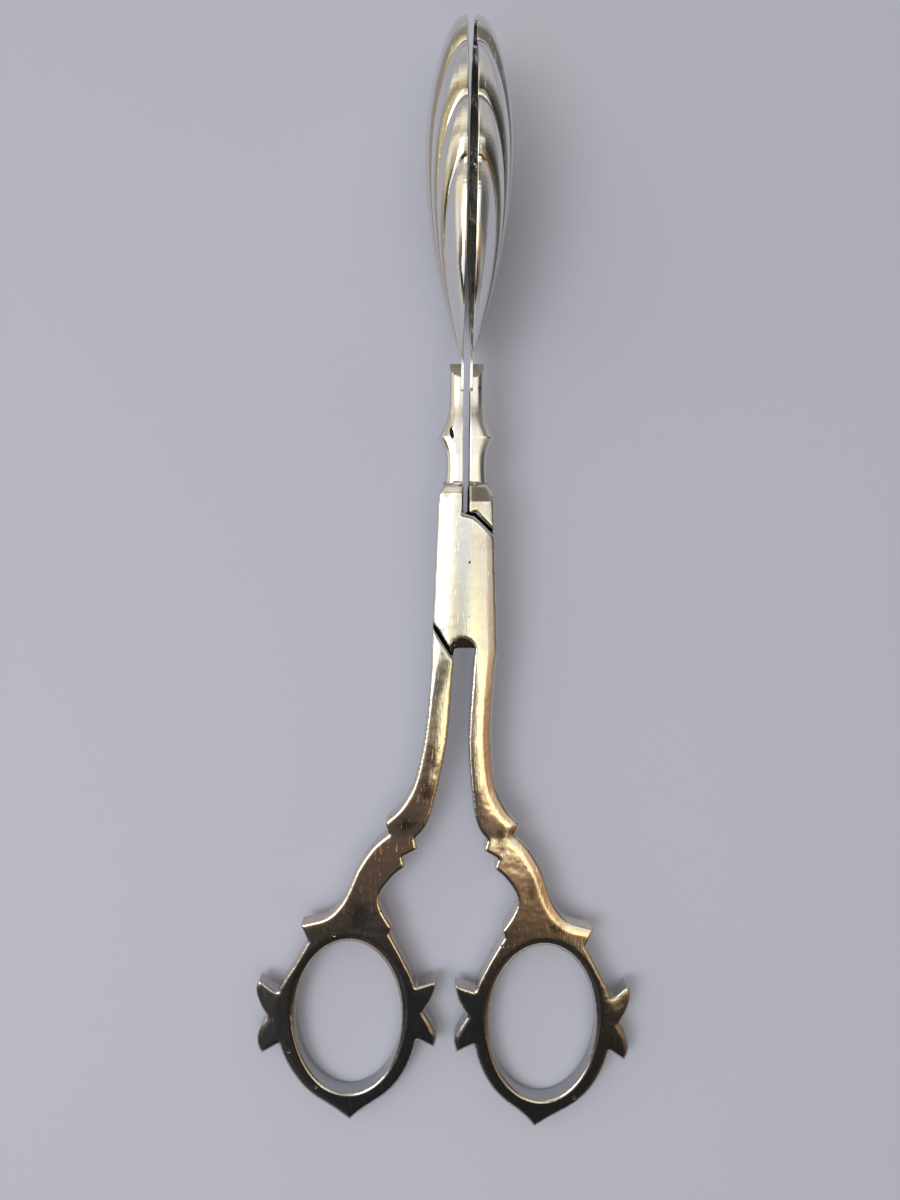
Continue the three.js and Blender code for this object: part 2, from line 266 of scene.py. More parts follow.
def tarnishGroup():  # cloudy tarnish with a finer bloom at its edges
    group, source, result = newGroup(
        "tarnish", [("Vector", "Vector"), ("Scale", "Float"), ("Amount", "Float")], [("Mask", "Float")])
    link, tuned = group.links.new, grain["tarnish"]
    broad = addNode(group, "TexNoise", {"Detail": 5, "Roughness": 0.62})
    fine = addNode(group, "TexNoise", {"Detail": 4, "Roughness": 0.7})
    link(source.outputs["Vector"], broad.inputs["Vector"])
    link(source.outputs["Vector"], fine.inputs["Vector"])
    link(source.outputs["Scale"], broad.inputs["Scale"])
    link(addMath(group, "MULTIPLY", source.outputs["Scale"], tuned["finer"]), fine.inputs["Scale"])
    bloom = addMath(group, "MULTIPLY", fine.outputs["Fac"], tuned["fineShare"])
    cloud = addMath(group, "ADD", broad.outputs["Fac"], bloom)
    lifted = addMath(group, "ADD", cloud, source.outputs["Amount"])
    over = addMath(group, "SUBTRACT", lifted, tuned["threshold"])
    link(addMath(group, "MULTIPLY", over, tuned["contrast"], True), result.inputs["Mask"])
    return group


def polishGroup():  # fine rubbing marks in two directions, and scratches in a third
    group, source, result = newGroup(
        "polishMarks", [("Vector", "Vector"), ("Scale", "Float")], [("Height", "Float"), ("Mask", "Float")])
    link, tuned = group.links.new, grain["polish"]
    marks = []
    for turn, stretch in tuned["strokes"]:
        turned = addNode(group, "Mapping", {"Rotation": (0, 0, turn), "Scale": (1, stretch, 1)})
        lines = addNode(group, "TexNoise", {"Detail": 3, "Roughness": 0.6})
        link(source.outputs["Vector"], turned.inputs["Vector"])
        link(turned.outputs["Vector"], lines.inputs["Vector"])
        link(source.outputs["Scale"], lines.inputs["Scale"])
        marks.append(lines.outputs["Fac"])
    both = addMath(group, "MULTIPLY", addMath(group, "ADD", marks[0], marks[1]), 0.5)
    over = addMath(group, "SUBTRACT", marks[2], tuned["threshold"])
    scratches = addMath(group, "MULTIPLY", over, tuned["contrast"], True)
    cut = addMath(group, "MULTIPLY", scratches, tuned["depth"])
    link(addMath(group, "SUBTRACT", both, cut), result.inputs["Height"])
    link(scratches, result.inputs["Mask"])
    return group


def pitGroup():  # scattered casting pits
    group, source, result = newGroup(
        "castPits", [("Vector", "Vector"), ("Scale", "Float"), ("Share", "Float")],
        [("Height", "Float"), ("Mask", "Float")])
    link, tuned = group.links.new, grain["pits"]
    cells = addNode(group, "TexVoronoi", {"Randomness": 1})
    ragged = addNode(group, "TexNoise", {"Scale": tuned["raggedScale"], "Detail": 2})
    link(source.outputs["Vector"], ragged.inputs["Vector"])
    moved = addNode(group, "VectorMath", operation="MULTIPLY_ADD")
    moved.inputs[1].default_value = (tuned["shift"],) * 3
    link(ragged.outputs["Color"], moved.inputs[0])
    link(source.outputs["Vector"], moved.inputs[2])
    link(moved.outputs["Vector"], cells.inputs["Vector"])
    link(source.outputs["Scale"], cells.inputs["Scale"])
    chance = addNode(group, "SeparateColor")
    link(cells.outputs["Color"], chance.inputs["Color"])
    kept = addMath(group, "LESS_THAN", chance.outputs[0], source.outputs["Share"])
    more = addMath(group, "MULTIPLY", chance.outputs[1], tuned["spread"])
    radius = addMath(group, "ADD", more, tuned["least"])
    near = addMath(group, "SUBTRACT", 1, addMath(group, "DIVIDE", cells.outputs["Distance"], radius), True)
    mask = addMath(group, "MULTIPLY", addMath(group, "MULTIPLY", near, tuned["contrast"], True), kept)
    link(mask, result.inputs["Mask"])
    link(addMath(group, "MULTIPLY", mask, -1), result.inputs["Height"])
    return group


def stainGroup():  # one ragged stain round a place
    group, source, result = newGroup(
        "stain", [("Vector", "Vector"), ("Place", "Vector"), ("Reach", "Vector")], [("Mask", "Float")])
    link, tuned = group.links.new, grain["stain"]
    away = addNode(group, "VectorMath", operation="SUBTRACT")
    scaled = addNode(group, "VectorMath", operation="DIVIDE")
    far = addNode(group, "VectorMath", operation="LENGTH")
    ragged = addNode(group, "TexNoise", {"Scale": tuned["raggedScale"], "Detail": 6, "Roughness": 0.72})
    link(source.outputs["Vector"], away.inputs[0])
    link(source.outputs["Place"], away.inputs[1])
    link(away.outputs["Vector"], scaled.inputs[0])
    link(source.outputs["Reach"], scaled.inputs[1])
    link(scaled.outputs["Vector"], far.inputs[0])
    link(source.outputs["Vector"], ragged.inputs["Vector"])
    near = addMath(group, "MULTIPLY", addMath(group, "SUBTRACT", 1, far.outputs["Value"]), tuned["contrast"])
    torn = addMath(group, "MULTIPLY", addMath(group, "SUBTRACT", ragged.outputs["Fac"], 0.5), tuned["torn"])
    link(addMath(group, "ADD", near, torn, True), result.inputs["Mask"])
    return group


groups = {"tarnish": tarnishGroup(), "polish": polishGroup(), "pits": pitGroup(), "stain": stainGroup()}


def placeGroup(tree, name, vector, **values):
    node = addNode(tree, "Group", node_tree=groups[name])
    tree.links.new(vector, node.inputs["Vector"])
    for key, value in values.items():
        node.inputs[key].default_value = value
    return node.outputs


# across each flute: a painted highlight on the creases and painted shade beside them, clean silver between
fluteTones = [(0.015, "rubbedAndHighlit"), (0.05, "creaseShade"), (0.13, "clean"), (0.66, "clean"), (0.83, "creaseShade"),
              (0.96, "creaseShade"), (0.985, "rubbedAndHighlit")]  # from crease to crease
castTone = {  # where the tones start below the origin and how far they run, in millimetres
    "below": 120, "run": 150, "stirScale": 0.22, "stir": 9, "blockFrom": 0.64, "rise": 10, "dullness": 0.05,
}


def paintedCreaseLight(tree, look):  # painted shade beside the creases, and a painted highlight on the creases themselves
    flute = addNode(tree, "Attribute", attribute_name="flute")
    return addRamp(tree, flute.outputs["Fac"], [(place, look[key]) for place, key in fluteTones])


def alongCasting(tree, vector, stops):  # its tone, part tarnish and part painted reflection, broken up a little, and how much duller the block is
    where = addNode(tree, "SeparateXYZ")
    stir = addNode(tree, "TexNoise", {"Scale": castTone["stirScale"], "Detail": 4})
    tree.links.new(vector, where.inputs["Vector"])
    tree.links.new(vector, stir.inputs["Vector"])
    stirred = addMath(tree, "MULTIPLY", stir.outputs["Fac"], castTone["stir"])
    along = addMath(tree, "ADD", where.outputs["Y"], stirred)
    share = addMath(tree, "DIVIDE", addMath(tree, "ADD", along, castTone["below"]), castTone["run"])
    past = addMath(tree, "SUBTRACT", share, castTone["blockFrom"])
    onBlock = addMath(tree, "MULTIPLY", past, castTone["rise"], True)
    return addRamp(tree, share, stops, "LINEAR"), addMath(tree, "MULTIPLY", onBlock, castTone["dullness"])


def rippleRelief(tree, vector, scale, depth, start, rise):  # chatter marks beside the rim
    waves = {"Scale": scale, "Distortion": 5, "Detail": 2, "Detail Scale": 0.6}
    ripples = addNode(tree, "TexWave", waves, bands_direction="Y")
    where = addNode(tree, "SeparateXYZ")
    tree.links.new(vector, ripples.inputs["Vector"])
    tree.links.new(vector, where.inputs["Vector"])
    high = addMath(tree, "MULTIPLY", addMath(tree, "SUBTRACT", where.outputs["Z"], start), rise, True)
    return addMath(tree, "MULTIPLY", ripples.outputs["Fac"], addMath(tree, "MULTIPLY", high, depth))


def dentRelief(tree, vector, scale, depth):  # slow unevenness left by the hammer
    dents = addNode(tree, "TexNoise", {"Scale": scale, "Detail": 1})
    tree.links.new(vector, dents.inputs["Vector"])
    return addMath(tree, "MULTIPLY", dents.outputs["Fac"], depth)


def silver(name, look, stops=None):
    material = bpy.data.materials.new(name)
    material.use_nodes = True
    tree = material.node_tree
    shader = tree.nodes["Principled BSDF"]
    link = tree.links.new
    coordinate = addNode(tree, "TexCoord")
    inMillimetres = addNode(tree, "Mapping", {"Scale": (1000,) * 3})
    link(coordinate.outputs["Object"], inMillimetres.inputs["Vector"])
    vector = inMillimetres.outputs["Vector"]
    tarnish = placeGroup(tree, "tarnish", vector, Scale=look["tarnishScale"], Amount=look["tarnish"])
    polish = placeGroup(tree, "polish", vector, Scale=look["polishScale"])
    pits = placeGroup(tree, "pits", vector, Scale=look["pitScale"], Share=look["pits"])
    colour = paintedCreaseLight(tree, look) if "creaseShade" in look else look["clean"]
    dull = addMath(tree, "MULTIPLY", tarnish["Mask"], look["dulling"])
    if stops:
        colour, duller = alongCasting(tree, vector, stops)
        dull = addMath(tree, "ADD", dull, duller)
    for x, y, wide, long, strength in look.get("stains", ()):
        stain = placeGroup(tree, "stain", vector, Place=(x, y, 0), Reach=(wide, long, 1000))
        covered = addMath(tree, "MULTIPLY", stain["Mask"], strength)
        colour = addMix(tree, covered, colour, look["stainColour"], "MULTIPLY")
    colour = addMix(tree, tarnish["Mask"], colour, look["worn"], "MULTIPLY")
    colour = addMix(tree, polish["Mask"], colour, look["scratch"])
    link(addMix(tree, pits["Mask"], colour, look["pitColour"]), shader.inputs["Base Color"])
    shader.inputs["Metallic"].default_value = 1
    rubbedAndHighlit = addMath(tree, "MULTIPLY", polish["Height"], look["gloss"] * 0.5)
    rough = addMath(tree, "ADD", addMath(tree, "ADD", dull, rubbedAndHighlit), look["gloss"])
    link(rough, shader.inputs["Roughness"])
    marks = addMath(tree, "MULTIPLY", polish["Height"], look["markDepth"])
    relief = addMath(tree, "ADD", marks, addMath(tree, "MULTIPLY", pits["Height"], look["pitDepth"]))
    if "ripples" in look:
        relief = addMath(tree, "ADD", relief, rippleRelief(tree, vector, *look["ripples"]))
    if "dents" in look:
        relief = addMath(tree, "ADD", relief, dentRelief(tree, vector, *look["dents"]))
    bump = addNode(tree, "Bump", {"Strength": 1, "Distance": 0.001})
    link(relief, bump.inputs["Height"])
    link(bump.outputs["Normal"], shader.inputs["Normal"])
    return material


baseLook = {
    "clean": (0.72, 0.705, 0.67), "worn": (0.66, 0.58, 0.48), "scratch": (0.95, 0.93, 0.88),
    "pitColour": (0.08, 0.07, 0.06), "stainColour": (0.2, 0.185, 0.16),
    "tarnish": 0.42, "tarnishScale": 0.11, "dulling": 0.08, "gloss": 0.06,
    "polishScale": 2.6, "markDepth": 0.014, "pitScale": 0.5, "pits": 0.12, "pitDepth": 0.05,
}
castLook = {**baseLook, "dents": (0.5, 0.018)}  # scale and depth
rearCastLook = {**castLook, "tarnish": 0.48}
# near-black colour: painted shade on the hidden lap faces, the neck's split faces and the flaw
lapShadeLook = {**baseLook, "clean": (0.045, 0.04, 0.034), "gloss": 0.34, "tarnish": 0.7, "pits": 0.3}
filedLook = {**baseLook, "clean": (0.42, 0.39, 0.34), "gloss": 0.3, "tarnish": 0.6, "pits": 0.2}
neckLook = {**baseLook, "gloss": 0.09, "tarnish": 0.34, "pits": 0.16}
solderLook = {**baseLook, "clean": (0.5, 0.47, 0.42), "gloss": 0.32, "pits": 0.7, "pitScale": 1.8}
screwLook = {**baseLook, "clean": (0.72, 0.69, 0.62), "gloss": 0.22}
bowlLook = {
    **baseLook, "clean": (0.8, 0.79, 0.77), "tarnish": 0.3, "pits": 0.02, "markDepth": 0.007,
    # the colour of the painted highlight on the creases
    "rubbedAndHighlit": (0.98, 0.98, 0.98), "dents": (0.3, 0.05),
    "ripples": (0.4, 0.003, 30, 0.3),  # scale, depth, height at which they start and how fast they rise
}
castTonesAndReflections = {  # from the finger ring to the block: part tarnish, part painted reflection, the dark grey ring and copper knuckle standing in for the dark and warm surroundings they reflect
    "front": [(0.0, (0.42, 0.43, 0.46)), (0.24, (0.48, 0.46, 0.44)), (0.34, (0.68, 0.62, 0.56)),
              (0.5, (0.72, 0.69, 0.62)), (1.0, (0.72, 0.705, 0.67))],
    "rear": [(0.0, (0.4, 0.42, 0.45)), (0.26, (0.46, 0.44, 0.42)), (0.36, (0.64, 0.54, 0.47)),
             (0.5, (0.6, 0.56, 0.49)), (0.66, (0.6, 0.6, 0.53)), (0.78, (0.72, 0.7, 0.66)),
             (1.0, (0.72, 0.705, 0.67))],
}
stains = {  # place, reach and strength
    "front": [(11.3, -51.4, 1.6, 3.2, 0.8), (17.9, -62.3, 1.1, 2.6, 0.7), (23.5, -70.4, 2.2, 1.2, 0.7),
              (-1.9, -6.8, 1.3, 2.4, 0.9), (-1.1, 20.9, 1.2, 1.2, 0.55), (5.9, -33, 0.7, 1.5, 0.4)],
    "rear": [(-8.9, -48.1, 2.4, 1.7, 0.85), (-4.3, -41.3, 1.6, 3.2, 0.8), (-2.3, -15, 1.5, 6, 0.65),
             (-18.8, -67, 3.4, 4.6, 0.6), (-3.4, -33, 1.6, 3.6, 0.5)],
    "neck": [(5.6, 42.5, 0.7, 0.9, 0.7)],
}
finishes = {
    "frontCast": silver("frontCastSilver", {**castLook, "stains": stains["front"]}, castTonesAndReflections["front"]),
    "rearCast": silver("rearCastSilver", {**rearCastLook, "stains": stains["rear"]}, castTonesAndReflections["rear"]),
    "lap": silver("lapShadeSilver", lapShadeLook),
    "neck": silver("neckSilver", {**neckLook, "stains": stains["neck"]}),
    "neckEnd": silver("filedNeckSilver", filedLook),
    # the bowls carry painted shade beside their creases, darker on the rear bowl
    "frontBowl": silver("frontBowlSilver", {**bowlLook, "creaseShade": (0.55, 0.49, 0.38)}),
    "rearBowl": silver("rearBowlSilver", {**bowlLook, "creaseShade": (0.27, 0.255, 0.225)}),
    "solder": silver("solderSilver", solderLook),
    "screw": silver("screwSilver", screwLook),
}
print("finishes made")


# castings: joint block, shank, grip and finger ring in one piece

screw = {  # the bore in the castings follows it
    "shank": 1.8, "head": 3.5, "cone": 1.5, "tip": 2.1, "back": -3.45, "room": 0.3,
    "slotWidth": 0.9, "slotDepth": 0.8, "slotReach": 4, "edge": 0.12,
}
casting = {
    "blockHalf": 3.45, "handleHalf": 2.1, "blockFoot": -14, "blockHead": 20.3, "blockFade": (10, 24),
    "footSide": 6.85, "headSide": 5.65, "corner": (4.35, 18.3), "crotchSide": 2.05,
    "knuckle": (10, -53.9), "ring": (21, -94.2), "opening": (11.55, 16.95), "ringRadii": (15.2, 20.4),
    "lean": {"front": -3.3, "rear": 3.3},  # the rings were bent over a little
    "drawnOut": {"front": 0.0174, "rear": 0}, "drawnFrom": -37,  # one handle is longer
    "tipLean": {"front": -1.2, "rear": 0}, "tipReach": (19, 23.2),
    "broad": {"front": 0, "rear": 0.14},  # and the other ring broader on its outer side
    "edge": (0.45, 0.35),  # width and drop of the broken edges
    "flank": {"front": (2.3, 0.32), "rear": (0.8, 0.08)},  # bevel along the outer edge
    "blockFlank": (2.0, 0.1), "flankFrom": (-79, -73),
    "roll": {"above": (2.0, 0.95), "below": (0.8, 0.5)}, "rollChange": 9,  # rounding into the opening
    "ringRound": (1.4, 0.25), "ringRoundFrom": (86, 100),  # the lower ring is rounder
    "crown": (0.3, 8.3, 0.95), "facet": {"front": 1.7, "rear": 3.6}, "facetDrop": 0.66,
    "shankCrown": {"front": (0.1, -0.35), "rear": (0.08, 0.05)},  # drop, place of its highest line
    "shankFrom": (-56, -44), "lapBevel": (1.1, 0.28), "leafDroop": 0.1, "leafReach": 4,
    "voxel": 0.26, "waves": {"front": 5, "rear": 4.4}, "waveHeight": 0.03,
    "sawn": {"foot": -24, "head": 20, "side": 6.6, "depth": 0.6, "inside": 0.6, "level": 0.6},
}


def asMade(side, points):  # the pattern as this arm came out: bent, drawn out and broader
    foot, middle = casting["blockFoot"], casting["ring"][1]
    start, end = casting["tipReach"]
    out = []
    for x, y in points:
        share = min(1, max(0, (foot - y) / (foot - middle)))
        tip = max(0, (middle - y - start) / (end - start))
        x += casting["broad"][side] * max(0, x - casting["ring"][0] - casting["opening"][0])
        x += casting["lean"][side] * math.sin(share * math.pi / 2) + casting["tipLean"][side] * tip
        out.append((x, y - casting["drawnOut"][side] * max(0, casting["drawnFrom"] - y)))
    return out


def atKnuckle(*points):
    return [(casting["knuckle"][0] + x, casting["knuckle"][1] + y) for x, y in points]


def atRing(*points):
    return [(casting["ring"][0] + x, casting["ring"][1] + y) for x, y in points]


def atRingSide(sign, *points):
    return atRing(*[(sign * (casting["ringRadii"][0] + out), y) for out, y in points])


def oval(radii, degrees):
    turns = [math.radians(angle) for angle in degrees]
    return atRing(*[(radii[0] * math.cos(turn), radii[1] * math.sin(turn)) for turn in turns])


def mirrored(point):
    return (-point[0], point[1])


blockFoot = (casting["footSide"], casting["blockFoot"])
blockSide = (casting["headSide"], casting["corner"][1])
blockCorner = (casting["corner"][0], casting["blockHead"])
crotch = (casting["crotchSide"], casting["blockFoot"])
lowerInside = oval(casting["ringRadii"], np.linspace(180, 240, 7))  # the round lower part of the ring
lowerOutside = oval(casting["ringRadii"], np.linspace(-60, 0, 7))
innerRuns = [
    [crotch, (2.05, -21.2), (2.25, -33.5),
     *atKnuckle((-6.75, 12.2), (-6.2, 9), (-5.2, 4.1), (-4, 1.4), (-2.4, -0.5))],
    atKnuckle((-2.4, -0.5), (-2.95, -2.8)),
    atKnuckle((-2.95, -2.8), (0.15, -4.5)),
    atKnuckle((0.15, -4.5), (-0.45, -6.6)),
    [*atKnuckle((-0.45, -6.6), (2, -8.8)), *atRing((-6.6, 28.1), (-6.25, 26.4), (-7, 23.9), (-9.2, 20.3))],
    atRing((-9.2, 20.3), (-8.7, 18.9)),
    [*atRing((-8.7, 18.9), (-11.85, 13.2), (-14.5, 7.2)), *lowerInside],
    [lowerInside[-1], *atRing((-2.4, -21.3), (-0.25, -23.2))],
]
outerRuns = [
    [*atRing((-0.25, -23.2), (2.2, -21.25)), lowerOutside[0]],
    [*lowerOutside, *atRing((14.6, 5.9), (11.6, 12), (8.8, 17.1))],
    atRing((8.8, 17.1), (10.5, 20.8)),
    [*atRing((10.5, 20.8), (4.8, 22.5), (1.9, 25.5), (0.75, 27.7)),
     *atKnuckle((9.5, -7), (6.8, -2.7), (4.6, -0.5), (3.4, 0.4))],
    atKnuckle((3.4, 0.4), (4, 2), (4.2, 3.1)),
    [*atKnuckle((4.2, 3.1), (1.45, 5.8), (-0.6, 9.3)),
     (8.5, -42), (7.17, -33.5), (6.7, -21.2), blockFoot],
    [blockFoot, blockSide],
]
blockRuns = [
    [blockSide, blockCorner], [blockCorner, mirrored(blockCorner)],
    [mirrored(blockCorner), mirrored(blockSide)], [mirrored(blockSide), mirrored(blockFoot)],
    [mirrored(blockFoot), crotch],
]
leafRuns = {  # two pointed lobes on each side of the ring
    1: [[(-1.9, 6.4), (-0.45, 5.8), (3, 8.4)], [(3, 8.4), (3.65, 6.6), (2.9, 3), (1.5, 0.1)],
        [(1.5, 0.1), (2.7, -1.7), (3.5, -4.3), (3.4, -6.6), (2.7, -8.2)],
        [(2.7, -8.2), (-0.45, -6.1), (-1.9, -5)]],
    -1: [[(-1.9, 6.6), (-0.75, 7), (3.9, 8.4)], [(3.9, 8.4), (3, 5), (1.1, 1.5)],
         [(1.1, 1.5), (2.9, -1.4), (3.9, -3.9), (3.45, -6.7)], [(3.45, -6.7), (-0.5, -4.8), (-1.9, -4.2)]],
}
lap = {  # where the half-lap is cut: two ends on the upper side of an arm, two on the lower
    "shoulder": [(-0.6, 14.5), (1.8, 13.8), (13.4, 2.68)],
    "shank": [(-13.4, 2.475), (-2.9, -13.7), (-2.05, -14), (0.6, -14)],
    "head": [(-0.6, 14.5), (-1.8, 14.5), (-13.4, 3.38)],
    "foot": [(-2.05, -22.4), (2.9, -14.9), (13.4, 1.276)],
    "gap": 0.15, "high": 230, "low": -54, "deep": 8, "crotch": (2.65, -0.4, -14),
}
lapLines = {"front": [lap["shoulder"]], "rear": [lap["foot"][1:], lap["head"][1:]]}  # ends eased with a file


def lapCutters(side):
    gap, high, low, deep = lap["gap"], lap["high"], lap["low"], lap["deep"]
    shoulder, shank, head, foot = lap["shoulder"], lap["shank"], lap["head"], lap["foot"]
    under = [(head[0][0], high), *head, (head[-1][0], low), (foot[0][0], low), *foot, (foot[-1][0], high)]
    cutters = [
        plate("shoulder", [(shoulder[0][0], high), *shoulder, (shoulder[-1][0], high)], gap, deep),
        plate("shank", [(shank[0][0], low), *shank, (shank[-1][0], low)], gap, deep),
        plate("under", under, -deep, gap),
    ]
    hole, sink = screw["shank"] + screw["room"], screw["head"] + screw["room"]
    back = -screw["back"]
    if side == "front":
        radius, x, y = lap["crotch"]
        cutters.append(drum("crotch", radius, 0, deep, x, y))
        cutters.append(drum("screwHole", hole, -deep, screw["tip"] + screw["room"]))
    else:
        cutters.append(drum("screwHole", hole, -deep, deep))
        cutters.append(drum("screwSink", hole, back - screw["cone"], back, topRadius=sink))
        cutters.append(drum("screwTop", sink, back - 0.01, deep))
    return cutters


def boundaryOf(loops):  # the outline of several overlapping loops together
    kept = []
    for loop in loops:
        points = np.array(loop)
        covered = np.zeros(len(points), bool)
        for other in loops:
            if other is not loop:
                covered |= isWithin(points, other)
        kept += [tuple(point) for point in points[~covered]]
    return kept


def rounded(distance, width):  # a quarter round, 1 at the edge
    return 1 - np.sqrt(1 - np.clip(1 - distance / width, 0, 1) ** 2)


def bevelled(distance, width):  # a short rounding that runs into a flat bevel
    share = np.clip(1 - distance / width, 0, 1)
    return np.where(share < 0.35, share ** 2 / 0.7, share - 0.175) / 0.825


def castingHeights(points, side, outline, edge):
    x, y, z = points.T
    flat = points[:, :2]
    lines = (drawn(innerRuns[0]), drawn(*outerRuns[3:]), openingLine())
    inner, outer, hole = (distanceTo(flat, asMade(side, line)) for line in lines)
    taper = np.clip((casting["blockFoot"] - y) / (casting["blockFoot"] - casting["knuckle"][1]), 0, 1)
    height = casting["blockHalf"] + (casting["handleHalf"] - casting["blockHalf"]) * taper
    middle, reach, drop = casting["crown"]
    onBlock = 1 - ease(-y, *casting["blockFade"])
    height -= drop * ((x - middle) / reach) ** 2 * onBlock
    drop, top = casting["shankCrown"][side]
    across = (inner - outer) / (inner + outer + 0.01)
    height -= drop * (across - top) ** 2 * (1 - onBlock) * ease(y, *casting["shankFrom"])
    (width, drop), (blockWidth, blockDrop) = casting["flank"][side], casting["blockFlank"]
    width, drop = width + (blockWidth - width) * onBlock, drop + (blockDrop - drop) * onBlock
    height -= drop * bevelled(outer, width) * ease(y, *casting["flankFrom"])
    above = ease(y, casting["ring"][1] - casting["rollChange"], casting["ring"][1] + casting["rollChange"])
    (wide, deep), (width, drop) = casting["roll"]["above"], casting["roll"]["below"]
    width, drop = width + (wide - width) * above, drop + (deep - drop) * above
    height -= drop * rounded(hole, width)
    width, drop = casting["ringRound"]
    height -= drop * np.clip(1 - edge / width, 0, 1) ** 2 * ease(-y, *casting["ringRoundFrom"])
    facet = casting["facet"][side]
    height -= casting["facetDrop"] * np.clip((y - casting["blockHead"] + facet) / facet, 0, 1)
    width, drop = casting["lapBevel"]
    shown = z > 0 if side == "front" else z < 0
    for line in lapLines[side]:
        height -= drop * np.clip(1 - distanceTo(flat, drawn(line)) / width, 0, 1) ** 2 * shown
    width, drop = casting["edge"]
    height -= drop * rounded(edge, width)
    onLeaf = ~isWithin(flat, outline)  # the leaves fall away from the ring
    height[onLeaf] -= casting["leafDroop"] * distanceTo(flat[onLeaf], outline) / casting["leafReach"]
    return height


def openingLine():
    return oval(casting["opening"], np.linspace(0, 360, 181)[:-1])


def makeCasting(side):
    thick, deep = casting["blockHalf"], lap["deep"]
    outline = asMade(side, drawn(*innerRuns, *outerRuns, *blockRuns))
    leaves = []
    for sign, runs in leafRuns.items():
        leaves.append(asMade(side, drawn(*[atRingSide(sign, *run) for run in runs])))
    body = plate(side + "Casting", outline, -thick, thick)
    for leaf in leaves:
        combine(body, plate("leaf", leaf, -thick, thick), "UNION")
    combine(body, plate("opening", asMade(side, openingLine()), -deep, deep), "DIFFERENCE")
    for cutter in lapCutters(side):
        combine(body, cutter, "DIFFERENCE")
    useModifier(body, "REMESH", mode="VOXEL", voxel_size=casting["voxel"], adaptivity=0)
    useModifier(body, "SMOOTH", factor=0.5, iterations=3)
    points = readPoints(body)
    edge = distanceTo(points[:, :2], boundaryOf([outline, *leaves]))
    points[:, 2] *= castingHeights(points, side, outline, edge) / thick
    writePoints(body, points)
    useModifier(body, "SMOOTH", factor=0.5, iterations=3)
    roughen(body, casting["waves"][side], casting["waveHeight"], "Z")
    body.data.materials.append(finishes[side + "Cast"])
    body.data.materials.append(finishes["lap"])
    sawn = casting["sawn"]
    for face in body.data.polygons:  # the sawn faces of the lap were never polished, so they are rougher; their near-black colour is painted shade between the arms
        x, y, z = face.center
        level = abs(face.normal.z) > sawn["level"]
        onLap = abs(z) < sawn["depth"] if level else edge[face.vertices[0]] > sawn["inside"]
        face.material_index = int(sawn["foot"] < y < sawn["head"] and abs(x) < sawn["side"] and onLap)
    return setDown(body, side, None, "handle_metal", side + "_handle", angle=60)


for side in ("front", "rear"):
    makeCasting(side)


# necks: half balusters, turned, split and cut back for the tang

neck = {
    "lower": [(4.35, 2.77, 20.6), (4.2, 2.72, 22.5), (4.15, 2.68, 24.5), (4.25, 2.68, 26.2), (4.6, 2.7, 27.6),
              (5.15, 2.72, 28.9), (5.75, 2.74, 29.8)],  # half-width, half-thickness, height
    "upper": [(5.75, 2.74, 29.8), (5.2, 2.72, 30.7), (4.55, 2.68, 32), (4, 2.6, 33.6), (3.65, 2.5, 35.2),
              (3.5, 2.42, 37), (3.5, 2.41, 44.7)],
    "flaw": {"place": (-3, 30.6, 2.72), "reach": (0.42, 1.2, 0.6), "turn": 0.2, "dark": (1.5, 2.58)},
    "split": -0.75, "seat": -1.2, "seatFoot": 39.2, "bevelFoot": 42, "endHalf": 0.9, "flatness": 0.5,
    "step": 0.3, "edge": 0.14, "filedFrom": 41.5,
}


